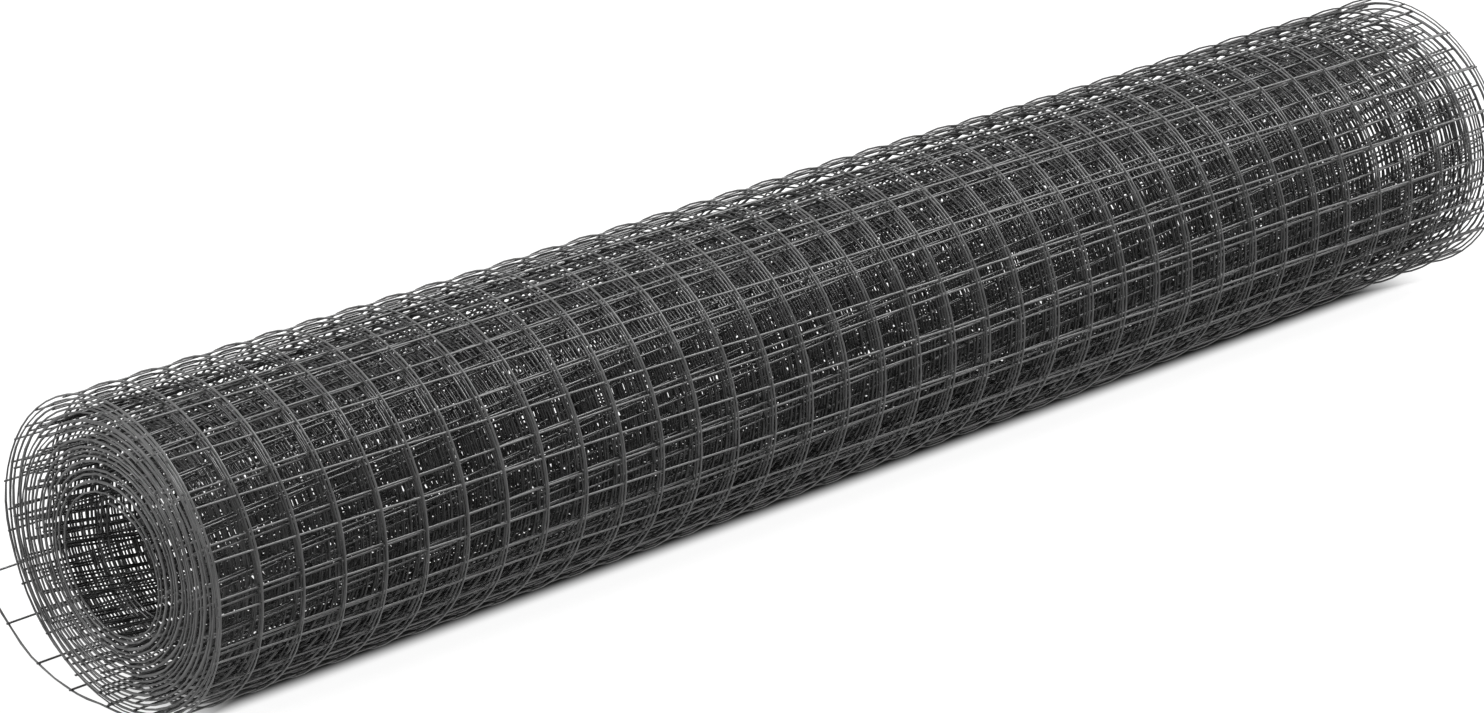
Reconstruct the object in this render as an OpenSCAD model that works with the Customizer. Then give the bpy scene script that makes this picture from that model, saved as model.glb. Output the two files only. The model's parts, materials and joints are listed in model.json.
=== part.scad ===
// Roll of welded wire fencing, lying on its side.
// One sheet of mesh is wound on itself round an open bore. The roll is a turned solid in which the turns
// show at both ends, and the sheet's outer end has sprung away from it at the back.

/* [Fence sheet] */
// Width of the sheet, which is the length of the roll
sheet_w = 900; // [300:5:1500]
// Diameter of the coated wire
wire_d = 1.1; // [0.8:0.1:3]
// How deep the two layers of wire are pressed into each other at the welds
weld_sink = 0.2; // [0:0.05:0.6]

/* [Winding] */
// Outside diameter of the roll
roll_d = 156; // [110:1:400]
// Diameter of the open bore inside the first turn
bore_d = 64; // [30:1:90]
// Air left between one turn and the next
turn_gap = 0.4; // [0.2:0.05:4]
// How far in from each end the turns stand apart
end_open = 6; // [1:0.5:20]

/* [Loose outer end] */
// Length of the sheet's outer end that has sprung away from the roll
loose_len = 115; // [20:1:200]
// How much more gently than the roll the loose end curves, in radius
spring_back = 72; // [20:1:300]

/* [Look] */
// Colour of the plastic coating
coat_colour = "#3b3c3e"; // ["#3b3c3e":Dark grey, "#2f4a36":Green, "#8d9094":Bare zinc]

/* [Hidden] */
$fn = 96;

// Line wires and cross wires lie one on the other, so the sheet is two wires thick, less the welds.
sheet_t = 2 * wire_d - weld_sink;
turn_pitch = sheet_t + turn_gap;
bore_r = bore_d / 2;
roll_r = roll_d / 2;

// The winding is a spiral of half turns, struck in turn from two centres on one line through the axis.
// Each half turn is half a pitch larger than the one inside it, and they meet without a kink.
half_pitch = turn_pitch / 2;
centre_off = turn_pitch / 4;
half_turns = floor((roll_r - bore_r - sheet_t) / half_pitch);

// The loose end starts where the last half turn ends, straight under the axis, and runs on from it.
winding_end = roll_r + centre_off;
loose_r = roll_r + spring_back;
loose_sweep = loose_len / loose_r * 180 / PI;

// The roll stands on its last half turn, and the origin is under the middle of its box.
back_reach = max(loose_r * sin(min(loose_sweep, 90)), roll_r - half_pitch);
axis_y = (roll_r - back_reach) / 2;
axis_z = winding_end;

mesh_roll();

// The whole roll: the wound body with its loose end, its bore, and the gap between the turns at both ends.
module mesh_roll() {
    color(coat_colour)
        lay_down()
            difference() {
                union() {
                    wound_body();
                    loose_end();
                }
                cylinder(r = bore_r, h = sheet_w + 2, center = true);
                for (side = [0, 1])
                    mirror([0, 0, side])
                        translate([0, 0, sheet_w / 2 - end_open])
                            spiral_gap(end_open + 1);
            }
}

// Turns the winding from its own Z axis to lie along X, with the end of the last half turn underneath.
module lay_down() {
    translate([0, axis_y, axis_z])
        rotate([90, 0, 90])
            rotate(90)
                children();
}

// The outside of the last turn, in two halves.
module wound_body() {
    for (i = [0, 1])
        half_turn(i)
            sheet_arc(0, half_turn_r(i), 180);
}

// The sheet's outer end, as thick as the sheet, on a gentler curve than the roll.
module loose_end() {
    translate([loose_r - winding_end, 0, 0])
        rotate(180)
            sheet_arc(loose_r - sheet_t, loose_r, loose_sweep);
}

// The air between the turns, from under the loose end in to the first turn.
module spiral_gap(depth) {
    for (i = [2 : half_turns])
        half_turn(i)
            rotate_extrude(angle = 180)
                translate([half_turn_r(i), 0])
                    square([turn_gap, depth]);
}

// A curved stretch between two radii, as wide as the sheet.
module sheet_arc(inner_r, outer_r, sweep) {
    rotate_extrude(angle = sweep)
        translate([inner_r, -sheet_w / 2])
            square([outer_r - inner_r, sheet_w]);
}

// Outside radius of the sheet on a half turn, counted inwards from the last one.
function half_turn_r(i) = roll_r - i * half_pitch;

// Places a half turn about its own centre, the even ones on one side and the odd ones on the other.
module half_turn(i) {
    rotate(180 * (i % 2))
        translate([-centre_off, 0, 0])
            children();
}
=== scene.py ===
import json
import math
import random

import bmesh
import bpy
from bpy.props import FloatProperty, FloatVectorProperty, IntProperty, PointerProperty, StringProperty
from mathutils import Matrix, Vector, noise


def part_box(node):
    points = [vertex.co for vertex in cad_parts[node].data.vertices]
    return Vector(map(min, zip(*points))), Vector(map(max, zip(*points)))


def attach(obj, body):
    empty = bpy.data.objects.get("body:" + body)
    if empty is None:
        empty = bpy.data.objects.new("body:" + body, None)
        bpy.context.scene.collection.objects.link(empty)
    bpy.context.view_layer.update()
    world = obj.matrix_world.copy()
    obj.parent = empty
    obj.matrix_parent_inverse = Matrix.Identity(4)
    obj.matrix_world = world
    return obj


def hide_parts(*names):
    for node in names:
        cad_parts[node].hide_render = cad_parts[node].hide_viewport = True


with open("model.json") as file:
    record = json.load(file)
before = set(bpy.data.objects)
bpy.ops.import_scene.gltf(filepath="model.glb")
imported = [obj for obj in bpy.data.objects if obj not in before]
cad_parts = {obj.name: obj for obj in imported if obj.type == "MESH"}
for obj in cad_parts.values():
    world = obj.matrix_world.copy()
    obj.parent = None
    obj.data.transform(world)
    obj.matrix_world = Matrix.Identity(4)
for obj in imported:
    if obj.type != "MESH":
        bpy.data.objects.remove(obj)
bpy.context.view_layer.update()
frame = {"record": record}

bl_info = {
    "name": "Roll of welded wire fencing",
    "version": (1, 0, 0),
    "blender": (4, 5, 0),
    "location": "3D View > Sidebar > Wire roll",
    "description": "Winds a sheet of coated welded mesh, wire by wire, where its CAD solid lies",
    "category": "Object",
}

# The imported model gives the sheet's width, the place of the winding's axis and the size of its bore.
NODE = "mesh_roll"
NEAR_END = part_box(NODE)[0].x
FAR_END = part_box(NODE)[1].x
AXIS_Y = frame["record"]["mounts"][0]["pos_m"][1]
BORE_RADIUS = frame["record"]["mounts"][0]["dims"]["r_mm"] / 1000

WINDING_SEED = 7

# How a sheet that was wound by hand has settled. These and all other lengths are in metres.
SAGGING_TURNS = 2  # innermost turns, which hang into the bore
SLACK_SPREAD = 0.15  # share by which the step at the top differs from turn to turn
BORE_HEIGHT = 0.075  # middle of the bore, under the roll's own axis because the turns sag
BUNCHED_WITHIN = 1.1  # in outside radii: the loose end lies further out, and in no bunch
GAP_WANDER = 0.003  # how far a gap between bunches moves in and out on its way round
GAP_ANGLE = 2.4  # radians from the outermost place of one gap to that of the next
GAP_EASE = 0.0011  # depth over which a gap opens
SLIDE = 0.0016  # furthest that a turn has slid along the roll
SLIDE_DEPTH = 0.0032  # depth over which the slide changes, a turn and a half
SLIDE_RUN = 0.4  # length over which it changes
SLIDE_ROW = 0.5  # row of the noise that it is read from
BEND = 0.0007  # furthest that the sheet is bent
BEND_RUN = 0.11  # distance over which the bend changes
FREE_HEIGHT = 0.04  # height from which the floor does not hold the sheet any more
END_ROOM = 1 / 3  # in steps: the least distance of the innermost cross wire from the sheet's inner end

# How deep the painted light goes: the coating is painted pale down to here, as if lit, and left dark further
# in, as painted shade. The line wires of a turn hide those under them, but the cross wires lie open.
LIT_DEPTH = 0.0018  # wholly painted pale, as painted light, down to here, which takes in the outer turn
LINE_LIT_REACH = 0.0031
CROSS_LIT_REACH = 0.0064
LIT_END = 0.002  # wholly painted pale, as painted light, up to here from an end of the roll
LIT_END_REACH = 0.005

# The contact shadow on the floor is painted by position, as a dip in its glow: where it begins to fade and
# where it has gone.
SHADOW_BESIDE = (0.02, 0.035)  # from under the axis
SHADOW_ALONG = (FAR_END - 0.06, FAR_END - 0.004)  # from halfway along the roll
FLOOR_GLOW = 0.94  # what the floor glows with elsewhere
FLOOR_SHADED = "#818181"  # what the lamps and the soft shadow add to it
FLOOR_REACH = 40
WHITE = "#ffffff"
LAMP_ANGLE = math.radians(28)  # how wide a lamp looks from the roll
SENSOR_WIDTH = 36  # millimetres


class SheetSizes(bpy.types.PropertyGroup):
    """Sizes of the fence sheet: two layers of straight wire, welded where they cross."""

    wire_d: FloatProperty(
        name="Wire diameter", description="Diameter of every wire over its coating",
        default=0.0011, min=0.0008, max=0.003, precision=4, unit="LENGTH")
    cross_step: FloatProperty(
        name="Cross wire step", description="Distance from one cross wire to the next, along the sheet",
        default=0.02558, min=0.01, max=0.1, precision=4, unit="LENGTH")
    cells_wide: IntProperty(
        name="Cells across", description="Cells from one edge of the sheet to the other",
        default=36, min=4, max=60)
    weld_depth: FloatProperty(
        name="Weld depth", description="How far a cross wire is sunk into a line wire at a weld",
        default=0.0002, min=0.0, max=0.0006, precision=5, unit="LENGTH")
    stub: FloatProperty(
        name="Stub", description="Length of cross wire left past the sheet's edge",
        default=0.0016, min=0.0008, max=0.01, precision=4, unit="LENGTH")


class WindingSizes(bpy.types.PropertyGroup):
    """Sizes of the roll that the sheet is wound into."""

    turns: IntProperty(
        name="Turns", description="Whole turns from the outside of the roll to its bore",
        default=18, min=2, max=30)
    near_radius: FloatProperty(
        name="Near radius", description="Outside radius at the end with the lower X",
        default=0.0802, min=0.06, max=0.2, precision=4, unit="LENGTH")
    far_radius: FloatProperty(
        name="Far radius", description="Outside radius at the end with the higher X",
        default=0.0757, min=0.06, max=0.2, precision=4, unit="LENGTH")
    tight_pitch: FloatProperty(
        name="Tight pitch", description="Step from turn to turn under the roll, where its weight closes them",
        default=0.00216, min=0.0018, max=0.01, precision=5, unit="LENGTH")
    slack_pitch: FloatProperty(
        name="Slack pitch", description="Mean step from turn to turn at the top, where they hang free",
        default=0.00266, min=0.0018, max=0.01, precision=5, unit="LENGTH")
    sag: FloatProperty(
        name="Sag", description="Extra step at the top of each of the two innermost turns, which hang free",
        default=0.0025, min=0.0, max=0.01, precision=4, unit="LENGTH")
    loose_radius: FloatProperty(
        name="Loose end radius", description="Radius on which the outer end curls up from the floor",
        default=0.075, min=0.05, max=0.5, precision=4, unit="LENGTH")
    loose_flat: FloatProperty(
        name="Loose end flat", description="Length of the outer end that lies on the floor behind the roll",
        default=0.033, min=0.0, max=0.1, precision=4, unit="LENGTH")
    loose_len: FloatProperty(
        name="Loose end length", description="Length of the outer end that has come away from the roll",
        default=0.119, min=0.02, max=0.2, precision=4, unit="LENGTH")
    first_cross: FloatProperty(
        name="First cross wire", description="Distance of the outermost cross wire from the roll's underside",
        default=0.113, min=0.0, max=0.2, precision=4, unit="LENGTH")
    skew: FloatProperty(
        name="Skew", description="Angle by which outer cross wires climb from the near end to the far one",
        default=math.radians(10.5), subtype="ANGLE")
    skew_loss: FloatProperty(
        name="Skew loss", description="How much of that climb is lost with each turn inwards",
        default=math.radians(14), subtype="ANGLE")
    bunches: IntProperty(
        name="Bunches", description="Bunches that the turns have gathered in", default=5, min=1, max=10)
    bunch_gap: FloatProperty(
        name="Bunch gap", description="Extra room between one bunch of turns and the next",
        default=0.0018, min=0.0, max=0.002, precision=5, unit="LENGTH")
    lean: FloatProperty(
        name="Lean", description="Angle by which the rings lean towards the near end at their tops",
        default=math.radians(1.6), subtype="ANGLE")


class Finishes(bpy.types.PropertyGroup):
    """Colours, as sRGB hex values."""

    # The dark coating tone also stands for painted shade inside the roll, and the pale tone is painted light
    # on the outer turn and the ends of the roll.
    coat: StringProperty(name="Coating", description="Anthracite of the wire's coating", default="#2d2d2d")
    coat_lit: StringProperty(
        name="Scuffed coating", description="Paler tone where the coating is scuffed", default="#626262")
    core: StringProperty(name="Wire core", description="Bare steel on a sheared end", default="#a9abac")
    floor: StringProperty(name="Floor", description="Pale studio floor", default="#bcbcbc")


class Studio(bpy.types.PropertyGroup):
    """Where the camera stands and how bright the studio is."""

    aim_along: FloatProperty(
        name="Aim", description="Distance along the roll from its near end to the point aimed at",
        default=0.401, precision=4, unit="LENGTH")
    aim_height: FloatProperty(
        name="Aim height", description="Height of that point above the floor",
        default=0.0743, precision=4, unit="LENGTH")
    distance: FloatProperty(
        name="Distance", description="From the camera to the point aimed at",
        default=3.171, precision=3, unit="LENGTH")
    azimuth: FloatProperty(
        name="Azimuth", description="Direction of view on the floor, from +X towards +Y",
        default=math.radians(46.49), subtype="ANGLE")
    elevation: FloatProperty(
        name="Elevation", description="Height of the camera over the roll, as an angle",
        default=math.radians(20.98), subtype="ANGLE")
    lens: FloatProperty(
        name="Lens", description="Focal length on a 36 mm sensor", default=152.9, unit="CAMERA")
    sky: FloatProperty(name="Sky", description="Strength of the even light from all round", default=0.18)
    key: FloatProperty(name="Key lamp", description="Strength of the wide lamp on the right", default=3.0)
    key_from: FloatVectorProperty(
        name="Key lamp from", description="Direction that the right lamp's light comes from",
        default=(0.63, -0.22, 0.74), subtype="DIRECTION")
    fill: FloatProperty(name="Fill lamp", description="Strength of the wide lamp on the left", default=1.8)
    fill_from: FloatVectorProperty(
        name="Fill lamp from", description="Direction that the left lamp's light comes from",
        default=(-0.62, 0.3, 0.72), subtype="DIRECTION")


class Winding:
    """Path of a line wire across the roll, halfway along it, as half turns from the outside inwards.

    Each half turn is an arc whose middle lies on the upright line through the roll's axis. y counts from
    that line, z from the floor. A length counts from the roll's underside inwards, and on the loose end it
    is negative.
    """

    def __init__(self, sheet, winding):
        slack = random.Random(WINDING_SEED)
        wire_r = sheet.wire_d / 2
        low = wire_r
        high = winding.near_radius + winding.far_radius - wire_r
        self.loose_radius = winding.loose_radius
        self.loose_middle = low + winding.loose_radius
        self.loose_flat = winding.loose_flat
        self.loose_sweep = (winding.loose_len - winding.loose_flat) / winding.loose_radius
        self.floor = low
        self.half_turns = []
        for turn in range(winding.turns):
            self.add_half_turn(low, high)
            low += winding.tight_pitch
            self.add_half_turn(low, high)
            high -= winding.slack_pitch * slack.uniform(1 - SLACK_SPREAD, 1 + SLACK_SPREAD)
            if turn >= winding.turns - SAGGING_TURNS:
                high -= winding.sag
        self.add_half_turn(low, high)
        self.length = sum(math.pi * radius for middle, radius in self.half_turns)

    def add_half_turn(self, low, high):
        """Adds an arc from one height to another, as the height of its middle and its radius."""
        self.half_turns.append(((high + low) / 2, (high - low) / 2))

    def find(self, length):
        """Half turn that a length falls in, and the length into it."""
        for count, (middle, radius) in enumerate(self.half_turns):
            if length <= math.pi * radius:
                break
            length -= math.pi * radius
        return count, length

    def skew_length(self, length, winding):
        """Length by which a cross wire is further out at the far end than at the near one."""
        count, rest = self.find(max(length, 0))
        return self.half_turns[count][1] * (winding.skew - winding.skew_loss * count / 2)

    def at(self, length, inset):
        """y and z of a point so far along the line wire, and inset from it towards the bore."""
        if -self.loose_flat < length < 0:
            return Vector((-length, self.floor + inset))
        back = 0
        if length < 0:
            back, middle, radius = self.loose_flat, self.loose_middle, self.loose_radius
            angle = -math.pi / 2 - (length + back) / radius
        else:
            count, rest = self.find(length)
            middle, radius = self.half_turns[count]
            angle = (math.pi / 2 if count % 2 else -math.pi / 2) - rest / radius
        radius -= inset
        return Vector((back + radius * math.cos(angle), middle + radius * math.sin(angle)))


def taper(along, winding):
    """Size of the cross-section, as a share of the one halfway along the roll."""
    near, far = winding.near_radius, winding.far_radius
    return (near + (far - near) * along) * 2 / (near + far)


def bunched(from_bore, angle, winding):
    """How far out a turn has moved, at this distance from the bore's middle, to lie in its bunch.

    The gaps between the bunches wander in and out on their way round the roll.
    """
    depth = winding.near_radius - BORE_RADIUS
    step = depth / winding.bunches
    shift = 0
    for gap in range(winding.bunches - 1):
        middle = BORE_RADIUS + step * (gap + 1) + GAP_WANDER * math.sin(angle + GAP_ANGLE * gap)
        shift += winding.bunch_gap / 2 * math.tanh((from_bore - middle) / GAP_EASE)
    closing = winding.bunch_gap * (winding.bunches - 1) / depth
    return shift - closing * (from_bore - BORE_RADIUS - depth / 2)


def settled(point, winding):
    """Where a point of the even winding lies on a sheet that has been wound by hand.

    The rings lean, the turns have gathered in bunches and slid a little along each other, and the sheet is
    bent a little, but not into the floor.
    """
    out = Vector((0, point.y - AXIS_Y, point.z - BORE_HEIGHT))
    from_bore = out.length
    angle = math.atan2(out.z, out.y)
    loft = min(1, point.z / FREE_HEIGHT)
    bunch = 0
    if from_bore < winding.near_radius * BUNCHED_WITHIN:
        bunch = bunched(from_bore, angle, winding)
    slide = SLIDE * noise.noise(Vector((from_bore / SLIDE_DEPTH, SLIDE_ROW, point.x / SLIDE_RUN)))
    lean = math.tan(winding.lean) * (winding.near_radius - point.z)
    bend = noise.noise_vector(point / BEND_RUN) * BEND
    bend.z *= loft
    return point + bend + out * (bunch * loft / from_bore) + Vector((slide + lean, 0, 0))


def closed_ends(bm, sides, rim):
    """Closes the ends of the wires, each with a disc inside a rim, and returns the discs."""
    open_edges = [edge for edge in bm.edges if edge.is_boundary]
    discs = bmesh.ops.holes_fill(bm, edges=open_edges, sides=sides)["faces"]
    bmesh.ops.recalc_face_normals(bm, faces=bm.faces)
    bmesh.ops.inset_individual(bm, faces=discs, thickness=rim)
    return discs


def new_piece(name, bm, materials):
    """Makes a bmesh of the even winding into a settled piece that stands for the roll's CAD node."""
    mesh = bpy.data.meshes.new(name)
    winding = bpy.context.scene.fence_winding
    # Without a seed the noise vectors would differ from run to run.
    noise.seed_set(WINDING_SEED)
    for vert in bm.verts:
        vert.co = settled(vert.co, winding)
    for face in bm.faces:
        face.smooth = face.material_index == 0
    bm.to_mesh(mesh)
    bm.free()
    for material in materials:
        mesh.materials.append(material)
    piece = bpy.data.objects.new(name, mesh)
    bpy.context.scene.collection.objects.link(piece)
    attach(piece, "root")
    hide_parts(NODE)


def linear(hex_value):
    """Linear RGBA of an sRGB hex value."""
    channels = [int(hex_value[i:i + 2], 16) / 255 for i in (1, 3, 5)]
    return [c / 12.92 if c <= 0.04045 else ((c + 0.055) / 1.055) ** 2.4 for c in channels] + [1.0]


def add_node(tree, kind, settings=None, links=None):
    """Adds a node, sets its properties and inputs, and links inputs to other nodes' outputs.

    An input goes by its name, or by its number on a node that has several of one name.
    """
    node = tree.nodes.new(kind)
    for key, value in (settings or {}).items():
        if isinstance(key, int) or key in node.inputs:
            node.inputs[key].default_value = value
        else:
            setattr(node, key, value)
    for key, output in (links or {}).items():
        tree.links.new(output, node.inputs[key])
    return node


def empty_material(name):
    """A material without nodes."""
    material = bpy.data.materials.new(name)
    material.use_nodes = True
    material.node_tree.nodes.clear()
    return material


def painted_light_mask(tree, place, winding, reach):
    """Nodes for painted light: 1 on the outer turn and at the ends of the roll, and 0, painted shade, from
    the reach inwards.
    """
    parts = add_node(tree, "ShaderNodeSeparateXYZ", links={"Vector": place}).outputs
    radius = add_node(
        tree, "ShaderNodeMapRange",
        {"From Min": NEAR_END, "From Max": FAR_END,
         "To Min": winding.near_radius, "To Max": winding.far_radius},
        {"Value": parts["X"]}).outputs["Result"]
    axis = add_node(tree, "ShaderNodeCombineXYZ", {"Y": AXIS_Y}, {"X": parts["X"], "Z": radius})
    from_axis = add_node(
        tree, "ShaderNodeVectorMath", {"operation": "DISTANCE"}, {0: place, 1: axis.outputs["Vector"]})
    depth = add_node(
        tree, "ShaderNodeMath", {"operation": "SUBTRACT"}, {0: radius, 1: from_axis.outputs["Value"]})
    outside = add_node(
        tree, "ShaderNodeMapRange",
        {"From Min": LIT_DEPTH, "From Max": reach, "To Min": 1.0, "To Max": 0.0},
        {"Value": depth.outputs["Value"]})
    # The ends lean as the rings do.
    slope = math.tan(winding.lean)
    leaned = add_node(
        tree, "ShaderNodeMath", {"operation": "MULTIPLY_ADD", 1: slope}, {0: parts["Z"], 2: parts["X"]})
    upright = add_node(
        tree, "ShaderNodeMath", {"operation": "SUBTRACT", 1: winding.near_radius * slope},
        {0: leaned.outputs["Value"]})
    from_middle = add_node(
        tree, "ShaderNodeMath", {"operation": "ABSOLUTE"}, {0: upright.outputs["Value"]})
    ends = add_node(
        tree, "ShaderNodeMapRange",
        {"From Min": FAR_END - LIT_END_REACH, "From Max": FAR_END - LIT_END},
        {"Value": from_middle.outputs["Value"]})
    return add_node(
        tree, "ShaderNodeMath", {"operation": "MAXIMUM"},
        {0: outside.outputs["Result"], 1: ends.outputs["Result"]}).outputs["Value"]


def coated_wire(finishes, winding, wire, reach):
    """PVC, sintered on to drawn steel wire.

    The powder melts to a half-gloss skin: a soft highlight along each wire, broken by a slight orange peel.
    The outer turns, down to the reach, and the ends are painted paler and a little duller, as painted light,
    and the wire inside the roll is left dark, as painted shade.
    """
    name = f"PVC_sintered_on_{wire}_wire"
    if name in bpy.data.materials:
        return bpy.data.materials[name]
    material = empty_material(name)
    tree = material.node_tree
    place = add_node(tree, "ShaderNodeTexCoord").outputs["Object"]
    # The painted light comes in patches about 18 mm long.
    patch_noise = add_node(tree, "ShaderNodeTexNoise", {"Scale": 1 / 0.018, "Detail": 3.0}, {"Vector": place})
    patches = add_node(
        tree, "ShaderNodeMapRange", {"From Min": 0.35, "From Max": 0.65, "To Min": 0.6, "To Max": 1.0},
        {"Value": patch_noise.outputs["Fac"]})
    # Painted light and shade: the pale tone on the outer turn and the ends, the dark tone inside the roll.
    painted_light = add_node(
        tree, "ShaderNodeMath", {"operation": "MULTIPLY"},
        {0: patches.outputs["Result"], 1: painted_light_mask(tree, place, winding, reach)}).outputs["Value"]
    colour = add_node(
        tree, "ShaderNodeMix",
        {"data_type": "RGBA", 6: linear(finishes.coat), 7: linear(finishes.coat_lit)}, {0: painted_light})
    gloss = add_node(tree, "ShaderNodeMapRange", {"To Min": 0.27, "To Max": 0.37}, {"Value": painted_light})
    # The orange peel is about 0.5 mm in truth. It is drawn at 1.2 mm, or it would not show.
    peel = add_node(tree, "ShaderNodeTexNoise", {"Scale": 1 / 0.0012, "Detail": 1.0}, {"Vector": place})
    relief = add_node(
        tree, "ShaderNodeBump", {"Strength": 0.25, "Distance": 0.0001}, {"Height": peel.outputs["Fac"]})
    shader = add_node(
        tree, "ShaderNodeBsdfPrincipled", {"IOR": 1.53},
        {"Base Color": colour.outputs[2], "Roughness": gloss.outputs["Result"],
         "Normal": relief.outputs["Normal"]})
    add_node(tree, "ShaderNodeOutputMaterial", links={"Surface": shader.outputs["BSDF"]})
    return material


def sheared_core(finishes):
    """Low-carbon steel, sheared across: a small bright disc with the streaks of the shear."""
    name = "steel_core_sheared"
    if name in bpy.data.materials:
        return bpy.data.materials[name]
    material = empty_material(name)
    tree = material.node_tree
    place = add_node(tree, "ShaderNodeTexCoord").outputs["Object"]
    # Shear streaks are some 0.05 mm apart. They are drawn at 0.3 mm, or they would not show.
    streaks = add_node(
        tree, "ShaderNodeTexWave", {"Scale": 1 / 0.0003 / 20, "Distortion": 4.0, "bands_direction": "Z"},
        {"Vector": place})
    gloss = add_node(
        tree, "ShaderNodeMapRange", {"To Min": 0.35, "To Max": 0.6}, {"Value": streaks.outputs["Fac"]})
    shader = add_node(
        tree, "ShaderNodeBsdfPrincipled", {"Base Color": linear(finishes.core), "Metallic": 1.0},
        {"Roughness": gloss.outputs["Result"]})
    add_node(tree, "ShaderNodeOutputMaterial", links={"Surface": shader.outputs["BSDF"]})
    return material


def seen(tree):
    """Nodes that give 1 to what the camera sees, straight or in another surface, and 0 to other light."""
    path = add_node(tree, "ShaderNodeLightPath").outputs
    in_a_surface = add_node(
        tree, "ShaderNodeMath", {"operation": "MAXIMUM"},
        {0: path["Is Glossy Ray"], 1: path["Is Transmission Ray"]})
    return add_node(
        tree, "ShaderNodeMath", {"operation": "MAXIMUM"},
        {0: path["Is Camera Ray"], 1: in_a_surface.outputs["Value"]}).outputs["Value"]


def studio_floor(finishes):
    """Matt painted board: an even white that takes the roll's soft shadow.

    Seen by the camera or in a reflection it glows up to white, but not in the roll's contact shadow, which is
    painted under the roll by position.
    """
    material = empty_material("white_painted_board")
    tree = material.node_tree
    place = add_node(tree, "ShaderNodeTexCoord").outputs["Object"]
    # Roller stipple, about 4 mm.
    stipple = add_node(tree, "ShaderNodeTexNoise", {"Scale": 1 / 0.004}, {"Vector": place})
    relief = add_node(
        tree, "ShaderNodeBump", {"Strength": 0.05, "Distance": 0.0002}, {"Height": stipple.outputs["Fac"]})
    board = add_node(
        tree, "ShaderNodeBsdfDiffuse", {"Color": linear(finishes.floor)},
        {"Normal": relief.outputs["Normal"]})
    shaded = add_node(tree, "ShaderNodeBsdfDiffuse", {"Color": linear(FLOOR_SHADED)})
    parts = add_node(tree, "ShaderNodeSeparateXYZ", links={"Vector": place}).outputs
    # Painted contact shadow: the glow is held back in a strip under the roll and fades towards its ends.
    across = add_node(tree, "ShaderNodeMath", {"operation": "SUBTRACT", 1: AXIS_Y}, {0: parts["Y"]})
    faded = []
    fades = ((across.outputs["Value"], SHADOW_BESIDE), (parts["X"], SHADOW_ALONG))
    for distance, (begins, gone) in fades:
        either_way = add_node(tree, "ShaderNodeMath", {"operation": "ABSOLUTE"}, {0: distance})
        fade = add_node(
            tree, "ShaderNodeMapRange",
            {"From Min": begins, "From Max": gone, "To Max": FLOOR_GLOW,
             "interpolation_type": "SMOOTHSTEP"},
            {"Value": either_way.outputs["Value"]})
        faded.append(fade.outputs["Result"])
    glow = add_node(tree, "ShaderNodeMath", {"operation": "MAXIMUM"}, {0: faded[0], 1: faded[1]})
    lit = add_node(
        tree, "ShaderNodeEmission", {"Color": linear(WHITE)}, {"Strength": glow.outputs["Value"]})
    both = add_node(
        tree, "ShaderNodeAddShader", links={0: shaded.outputs["BSDF"], 1: lit.outputs["Emission"]})
    shader = add_node(
        tree, "ShaderNodeMixShader",
        links={0: seen(tree), 1: board.outputs["BSDF"], 2: both.outputs["Shader"]})
    add_node(tree, "ShaderNodeOutputMaterial", links={"Surface": shader.outputs["Shader"]})
    return material


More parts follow.
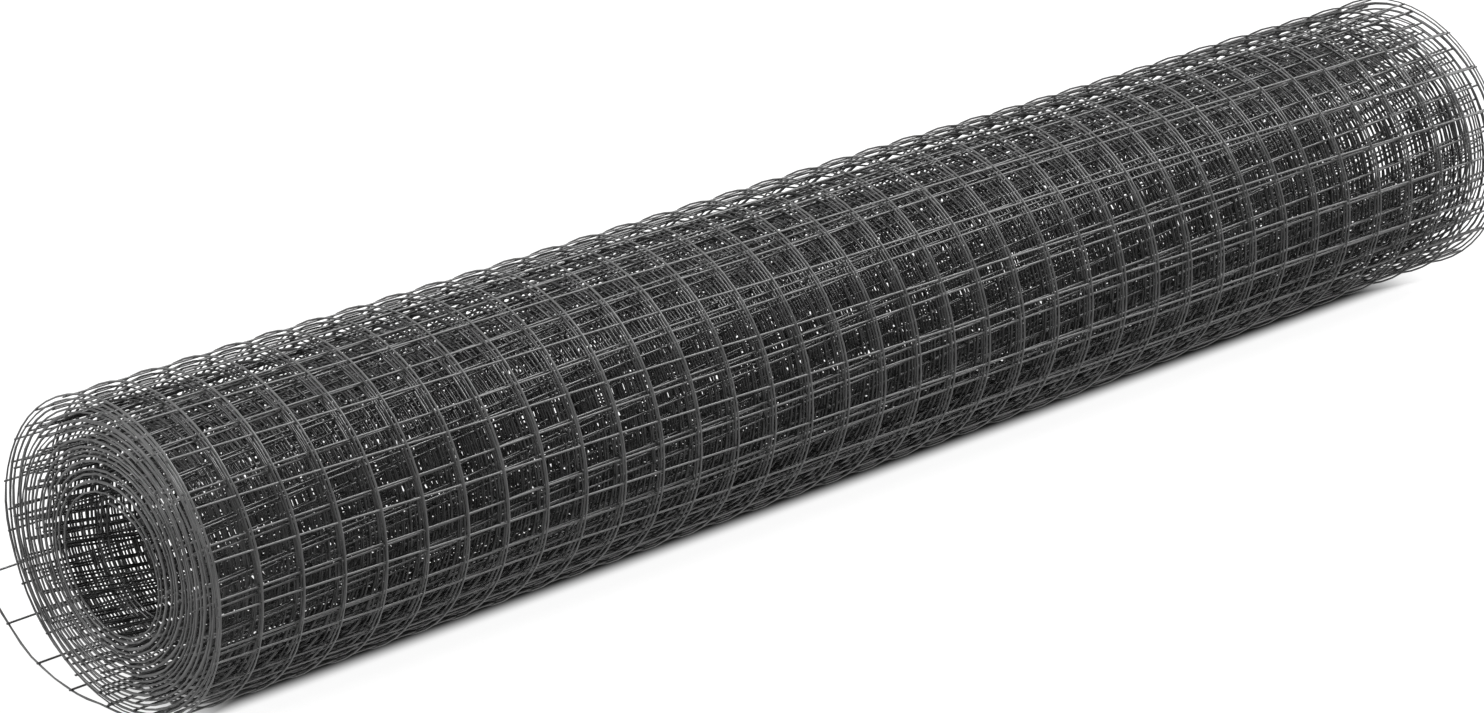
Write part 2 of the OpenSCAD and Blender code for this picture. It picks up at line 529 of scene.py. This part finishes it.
class WIREROLL_OT_line_wires(bpy.types.Operator):
    """Winds the line wires, which run the length of the sheet and make the rings of the roll"""

    bl_idname = "wireroll.line_wires"
    bl_label = "Wind line wires"

    SIDES = 6
    CHORD = 0.009  # length of one straight piece of a wire
    LEAST_STEPS = 8  # pieces in an arc
    GROUPS = 3  # pieces that share the wires, as one would have too many triangles
    RIM = 0.15  # coating round the steel core at an end, in wire diameters

    def spin(self, bm, ring, middle, radius, angle):
        """Draws the end of a wire round an arc, and returns the new end."""
        spun = bmesh.ops.spin(
            bm, geom=ring, cent=middle, axis=(1, 0, 0), angle=-angle, use_merge=False, use_duplicate=False,
            steps=max(self.LEAST_STEPS, round(angle * radius / self.CHORD)))
        return [item for item in spun["geom_last"] if isinstance(item, bmesh.types.BMEdge)]

    def wind(self, bm, sheet, path):
        """One line wire, halfway along the roll, drawn from its loose end inwards half turn by half turn."""
        wire_r = sheet.wire_d / 2
        stand = Matrix.Translation((0, path.loose_flat, wire_r)) @ Matrix.Rotation(math.pi / 2, 4, "X")
        bmesh.ops.create_circle(bm, segments=self.SIDES, radius=wire_r, matrix=stand)
        middle = (0, path.loose_flat, path.loose_middle)
        curl = Matrix.Rotation(path.loose_sweep, 3, "X")
        bmesh.ops.rotate(bm, verts=bm.verts, cent=middle, matrix=curl)
        ring = self.spin(bm, bm.edges[:], middle, path.loose_radius, path.loose_sweep)
        steps = math.ceil(path.loose_flat / self.CHORD)
        for _ in range(steps):
            drawn = bmesh.ops.extrude_edge_only(bm, edges=ring)["geom"]
            ring = [item for item in drawn if isinstance(item, bmesh.types.BMEdge)]
            moved = [item for item in drawn if isinstance(item, bmesh.types.BMVert)]
            bmesh.ops.translate(bm, verts=moved, vec=(0, -path.loose_flat / steps, 0))
        for middle, radius in path.half_turns:
            ring = self.spin(bm, ring, (0, 0, middle), radius, math.pi)
        for disc in closed_ends(bm, self.SIDES, sheet.wire_d * self.RIM):
            disc.material_index = 1

    def execute(self, context):
        sheet, winding = context.scene.fence_sheet, context.scene.fence_winding
        finishes = context.scene.fence_finishes
        path = Winding(sheet, winding)
        materials = [coated_wire(finishes, winding, "line", LINE_LIT_REACH), sheared_core(finishes)]
        count = sheet.cells_wide + 1
        share = math.ceil(count / self.GROUPS)
        for group in range(self.GROUPS):
            bm = bmesh.new()
            self.wind(bm, sheet, path)
            first = bm.verts[:] + bm.edges[:] + bm.faces[:]
            for line in range(group * share, min(count, (group + 1) * share)):
                along = line / sheet.cells_wide
                copied = bmesh.ops.duplicate(bm, geom=first)["geom"]
                wire = [item for item in copied if isinstance(item, bmesh.types.BMVert)]
                size = taper(along, winding)
                bmesh.ops.scale(bm, vec=(1, size, size), verts=wire)
                bmesh.ops.translate(
                    bm, vec=(NEAR_END + (FAR_END - NEAR_END) * along, AXIS_Y, 0), verts=wire)
            bmesh.ops.delete(bm, geom=first, context="VERTS")
            new_piece(f"line_wires_{group + 1}", bm, materials)
        return {"FINISHED"}


class Crossings:
    """Places of the cross wires, and of their welds to the line wires."""

    def __init__(self, sheet, winding):
        self.sheet = sheet
        self.winding = winding
        self.path = Winding(sheet, winding)
        covered = winding.first_cross + self.path.length - sheet.cross_step * END_ROOM
        self.count = int(covered / sheet.cross_step) + 1

    def at(self, wire, along, inset):
        """A point on a cross wire, at this share of the way from the near edge to the far one."""
        length = wire * self.sheet.cross_step - self.winding.first_cross
        length -= self.path.skew_length(length, self.winding) * along
        flat = self.path.at(min(length, self.path.length), inset) * taper(along, self.winding)
        return Vector((NEAR_END + (FAR_END - NEAR_END) * along, AXIS_Y + flat.x, flat.y))


class WIREROLL_OT_cross_wires(bpy.types.Operator):
    """Lays the cross wires along the roll, on the inside of the line wires"""

    bl_idname = "wireroll.cross_wires"
    bl_label = "Lay cross wires"

    SIDES = 6
    ROUNDING = 0.2  # of the ends, in wire diameters

    def execute(self, context):
        sheet, winding = context.scene.fence_sheet, context.scene.fence_winding
        finishes = context.scene.fence_finishes
        places = Crossings(sheet, winding)
        inset = sheet.wire_d - sheet.weld_depth
        past = sheet.stub / (FAR_END - NEAR_END)
        stations = [-past] + [line / sheet.cells_wide for line in range(sheet.cells_wide + 1)] + [1 + past]
        bm = bmesh.new()
        number = bm.verts.layers.int.new("cross_wire")
        for wire in range(places.count):
            here = Matrix.Translation(places.at(wire, stations[0], inset))
            circle = bmesh.ops.create_circle(
                bm, segments=self.SIDES, radius=sheet.wire_d / 2,
                matrix=here @ Matrix.Rotation(math.pi / 2, 4, "Y"))
            for vert in circle["verts"]:
                vert[number] = wire
        ends = bm.edges[:]
        for last, station in zip(stations, stations[1:]):
            steps = [
                places.at(wire, station, inset) - places.at(wire, last, inset)
                for wire in range(places.count)]
            drawn = bmesh.ops.extrude_edge_only(bm, edges=ends)["geom"]
            for vert in drawn:
                if isinstance(vert, bmesh.types.BMVert):
                    vert.co += steps[vert[number]]
            ends = [item for item in drawn if isinstance(item, bmesh.types.BMEdge)]
        rounding = sheet.wire_d * self.ROUNDING
        for disc in closed_ends(bm, self.SIDES, rounding):
            bmesh.ops.translate(bm, verts=disc.verts, vec=disc.normal * rounding)
        new_piece("cross_wires", bm, [coated_wire(finishes, winding, "cross", CROSS_LIT_REACH)])
        return {"FINISHED"}


class WIREROLL_OT_welds(bpy.types.Operator):
    """Puts the swollen coating round every weld"""

    bl_idname = "wireroll.welds"
    bl_label = "Coat welds"

    GROUPS = 2  # pieces that share the beads, as one would have too many triangles
    BEAD = 0.7  # radius of a bead, in wire diameters

    def execute(self, context):
        sheet, winding = context.scene.fence_sheet, context.scene.fence_winding
        coating = coated_wire(context.scene.fence_finishes, winding, "line", LINE_LIT_REACH)
        places = Crossings(sheet, winding)
        inset = (sheet.wire_d - sheet.weld_depth) / 2
        row_mesh = bpy.data.meshes.new("weld_row")
        for group in range(self.GROUPS):
            bm = bmesh.new()
            for wire in range(group, places.count, self.GROUPS):
                row = bmesh.new()
                for line in range(sheet.cells_wide + 1):
                    here = Matrix.Translation(places.at(wire, line / sheet.cells_wide, inset))
                    bmesh.ops.create_icosphere(
                        row, subdivisions=1, radius=sheet.wire_d * self.BEAD, matrix=here)
                row.to_mesh(row_mesh)
                row.free()
                bm.from_mesh(row_mesh)
            new_piece(f"weld_beads_{group + 1}", bm, [coating])
        bpy.data.meshes.remove(row_mesh)
        return {"FINISHED"}


class WIREROLL_OT_stage(bpy.types.Operator):
    """Sets the floor, the light and the camera"""

    bl_idname = "wireroll.stage"
    bl_label = "Set the stage"

    def lay_floor(self, scene):
        """A wide plain floor that the roll lies on."""
        bm = bmesh.new()
        bmesh.ops.create_grid(bm, x_segments=1, y_segments=1, size=FLOOR_REACH)
        mesh = bpy.data.meshes.new("floor")
        bm.to_mesh(mesh)
        bm.free()
        mesh.materials.append(studio_floor(scene.fence_finishes))
        floor = bpy.data.objects.new("floor", mesh)
        scene.collection.objects.link(floor)

    def light(self, scene, studio):
        """A white room that lights the roll only a little, and two wide lamps."""
        world = bpy.data.worlds.new("white_studio")
        scene.world = world
        world.use_nodes = True
        tree = world.node_tree
        tree.nodes.clear()
        strength = add_node(
            tree, "ShaderNodeMapRange", {"To Min": studio.sky, "To Max": 1.0}, {"Value": seen(tree)})
        sky = add_node(
            tree, "ShaderNodeBackground", {"Color": linear(WHITE)}, {"Strength": strength.outputs["Result"]})
        add_node(tree, "ShaderNodeOutputWorld", links={"Surface": sky.outputs["Background"]})

        lamps = (("key_lamp", studio.key, studio.key_from), ("fill_lamp", studio.fill, studio.fill_from))
        for name, energy, comes_from in lamps:
            light = bpy.data.lights.new(name, "SUN")
            light.energy = energy
            light.angle = LAMP_ANGLE
            lamp = bpy.data.objects.new(name, light)
            lamp.rotation_euler = Vector(comes_from).to_track_quat("Z", "Y").to_euler()
            scene.collection.objects.link(lamp)

    def set_camera(self, scene, studio):
        """A camera that looks along the roll from its near end, a little from above."""
        aim = Vector((NEAR_END + studio.aim_along, AXIS_Y, studio.aim_height))
        level = math.cos(studio.elevation)
        view = Vector(
            (math.cos(studio.azimuth) * level, math.sin(studio.azimuth) * level, -math.sin(studio.elevation)))
        eye = bpy.data.cameras.new("camera")
        eye.lens = studio.lens
        eye.sensor_width = SENSOR_WIDTH
        eye.clip_end = 2 * FLOOR_REACH
        camera = bpy.data.objects.new("camera", eye)
        camera.location = aim - view * studio.distance
        camera.rotation_euler = view.to_track_quat("-Z", "Y").to_euler()
        scene.collection.objects.link(camera)
        scene.camera = camera

    def execute(self, context):
        scene, studio = context.scene, context.scene.fence_studio
        self.lay_floor(scene)
        self.light(scene, studio)
        self.set_camera(scene, studio)
        scene.view_settings.view_transform = "Standard"
        return {"FINISHED"}


class WIREROLL_PT_panel(bpy.types.Panel):
    """Sizes, finishes and steps of the wire roll"""

    bl_idname = "WIREROLL_PT_panel"
    bl_label = "Wire roll"
    bl_space_type = "VIEW_3D"
    bl_region_type = "UI"
    bl_category = "Wire roll"

    def draw(self, context):
        scene = context.scene
        for group in (scene.fence_sheet, scene.fence_winding, scene.fence_finishes, scene.fence_studio):
            box = self.layout.box()
            for key in group.__annotations__:
                box.prop(group, key)
        for operator in OPERATORS:
            self.layout.operator(operator.bl_idname)


OPERATORS = (WIREROLL_OT_line_wires, WIREROLL_OT_cross_wires, WIREROLL_OT_welds, WIREROLL_OT_stage)
CLASSES = (SheetSizes, WindingSizes, Finishes, Studio) + OPERATORS + (WIREROLL_PT_panel,)


def register():
    for item in CLASSES:
        bpy.utils.register_class(item)
    bpy.types.Scene.fence_sheet = PointerProperty(type=SheetSizes)
    bpy.types.Scene.fence_winding = PointerProperty(type=WindingSizes)
    bpy.types.Scene.fence_finishes = PointerProperty(type=Finishes)
    bpy.types.Scene.fence_studio = PointerProperty(type=Studio)


def unregister():
    for name in ("fence_studio", "fence_finishes", "fence_winding", "fence_sheet"):
        delattr(bpy.types.Scene, name)
    for item in reversed(CLASSES):
        bpy.utils.unregister_class(item)


def main():
    register()
    bpy.ops.wireroll.line_wires()
    bpy.ops.wireroll.cross_wires()
    bpy.ops.wireroll.welds()
    bpy.ops.wireroll.stage()


if __name__ == "__main__":
    main()
